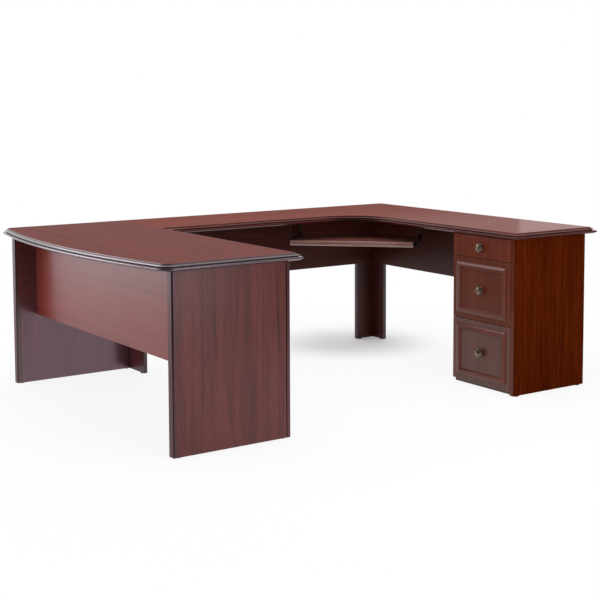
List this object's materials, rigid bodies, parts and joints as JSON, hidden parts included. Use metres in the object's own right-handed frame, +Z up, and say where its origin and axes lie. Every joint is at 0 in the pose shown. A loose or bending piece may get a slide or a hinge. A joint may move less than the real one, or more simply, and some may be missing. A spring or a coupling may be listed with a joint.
{
  "type": "corner desk",
  "caption": "U-shaped office corner desk: bow-front desk joined to an L-shaped corner desk with moulded edges, a sliding keyboard tray and a drawer pedestal.",
  "frame": {"origin": "on the floor, at the middle of the plan rectangle that holds the whole desk", "axes": "+X from the bow front towards the side wing, +Y towards the back edge, +Z up"},
  "size_m": [2.417, 1.672, 0.762],
  "materials": {
    "top_laminate": "dark cherry laminate, semi-gloss",
    "edge_moulding": "dark cherry moulding, gloss lacquer",
    "edge_strip": "dark cherry edge strip, semi-gloss",
    "panel_laminate": "dark cherry laminate, satin",
    "front_laminate": "dark cherry laminate and moulding, satin",
    "tray_laminate": "dark cherry laminate, satin",
    "box_board": "printed board, satin",
    "runner_steel": "zinc plated",
    "bracket_steel": "black powder coat",
    "screw_steel": "zinc plated",
    "knob_brass": "antique brass",
    "glide_plastic": "black nylon"
  },
  "bodies": {
    "desk": {"back_modesty_panel": "panel_laminate", "bow_back_moulding": "edge_moulding", "bow_front_moulding": "edge_moulding", "bow_modesty_panel": "panel_laminate", "bow_top": "top_laminate", "corner_back_moulding": "edge_moulding", "corner_brackets": "bracket_steel", "corner_front_moulding": "edge_moulding", "corner_leg_left": "panel_laminate", "corner_leg_right": "panel_laminate", "corner_near_moulding": "edge_moulding", "corner_side_moulding": "edge_moulding", "corner_top": "top_laminate", "drawer_fixed_runners": "runner_steel", "end_leg": "panel_laminate", "end_panel_strips": "edge_strip", "far_end_panel": "panel_laminate", "fitting_screws": "screw_steel", "floor_glides": "glide_plastic", "joining_plates": "bracket_steel", "leg_edge_strips": "edge_strip", "near_end_panel": "panel_laminate", "pedestal_back": "panel_laminate", "pedestal_bottom": "panel_laminate", "pedestal_end_panel": "panel_laminate", "pedestal_inner_panel": "panel_laminate", "pedestal_kick_plate": "panel_laminate", "pedestal_rails": "panel_laminate", "side_modesty_panel": "panel_laminate", "tray_fixed_runners": "runner_steel", "tray_hangers": "bracket_steel"},
    "top_drawer": {"top_drawer_back": "box_board", "top_drawer_bottom": "box_board", "top_drawer_far_side": "box_board", "top_drawer_front": "front_laminate", "top_drawer_knob": "knob_brass", "top_drawer_moving_runners": "runner_steel", "top_drawer_near_side": "box_board"},
    "middle_drawer": {"middle_drawer_back": "box_board", "middle_drawer_bottom": "box_board", "middle_drawer_far_side": "box_board", "middle_drawer_file_rails": "runner_steel", "middle_drawer_frame": "front_laminate", "middle_drawer_front": "front_laminate", "middle_drawer_knob": "knob_brass", "middle_drawer_moving_runners": "runner_steel", "middle_drawer_near_side": "box_board"},
    "bottom_drawer": {"bottom_drawer_back": "box_board", "bottom_drawer_bottom": "box_board", "bottom_drawer_far_side": "box_board", "bottom_drawer_file_rails": "runner_steel", "bottom_drawer_frame": "front_laminate", "bottom_drawer_front": "front_laminate", "bottom_drawer_knob": "knob_brass", "bottom_drawer_moving_runners": "runner_steel", "bottom_drawer_near_side": "box_board"},
    "keyboard_tray": {"tray_board": "tray_laminate", "tray_lip": "tray_laminate", "tray_moving_runners": "runner_steel"}
  },
  "joints": [
    {"name": "top_drawer_slide", "type": "slide", "parent": "desk", "child": "top_drawer", "axis": [-1, 0, 0], "range_m": [0, 0.3]},
    {"name": "middle_drawer_slide", "type": "slide", "parent": "desk", "child": "middle_drawer", "axis": [-1, 0, 0], "range_m": [0, 0.3]},
    {"name": "bottom_drawer_slide", "type": "slide", "parent": "desk", "child": "bottom_drawer", "axis": [-1, 0, 0], "range_m": [0, 0.3]},
    {"name": "keyboard_tray_slide", "type": "slide", "parent": "desk", "child": "keyboard_tray", "axis": [-0.7071, -0.7071, 0], "range_m": [-0.13, 0.145]}
  ]
}
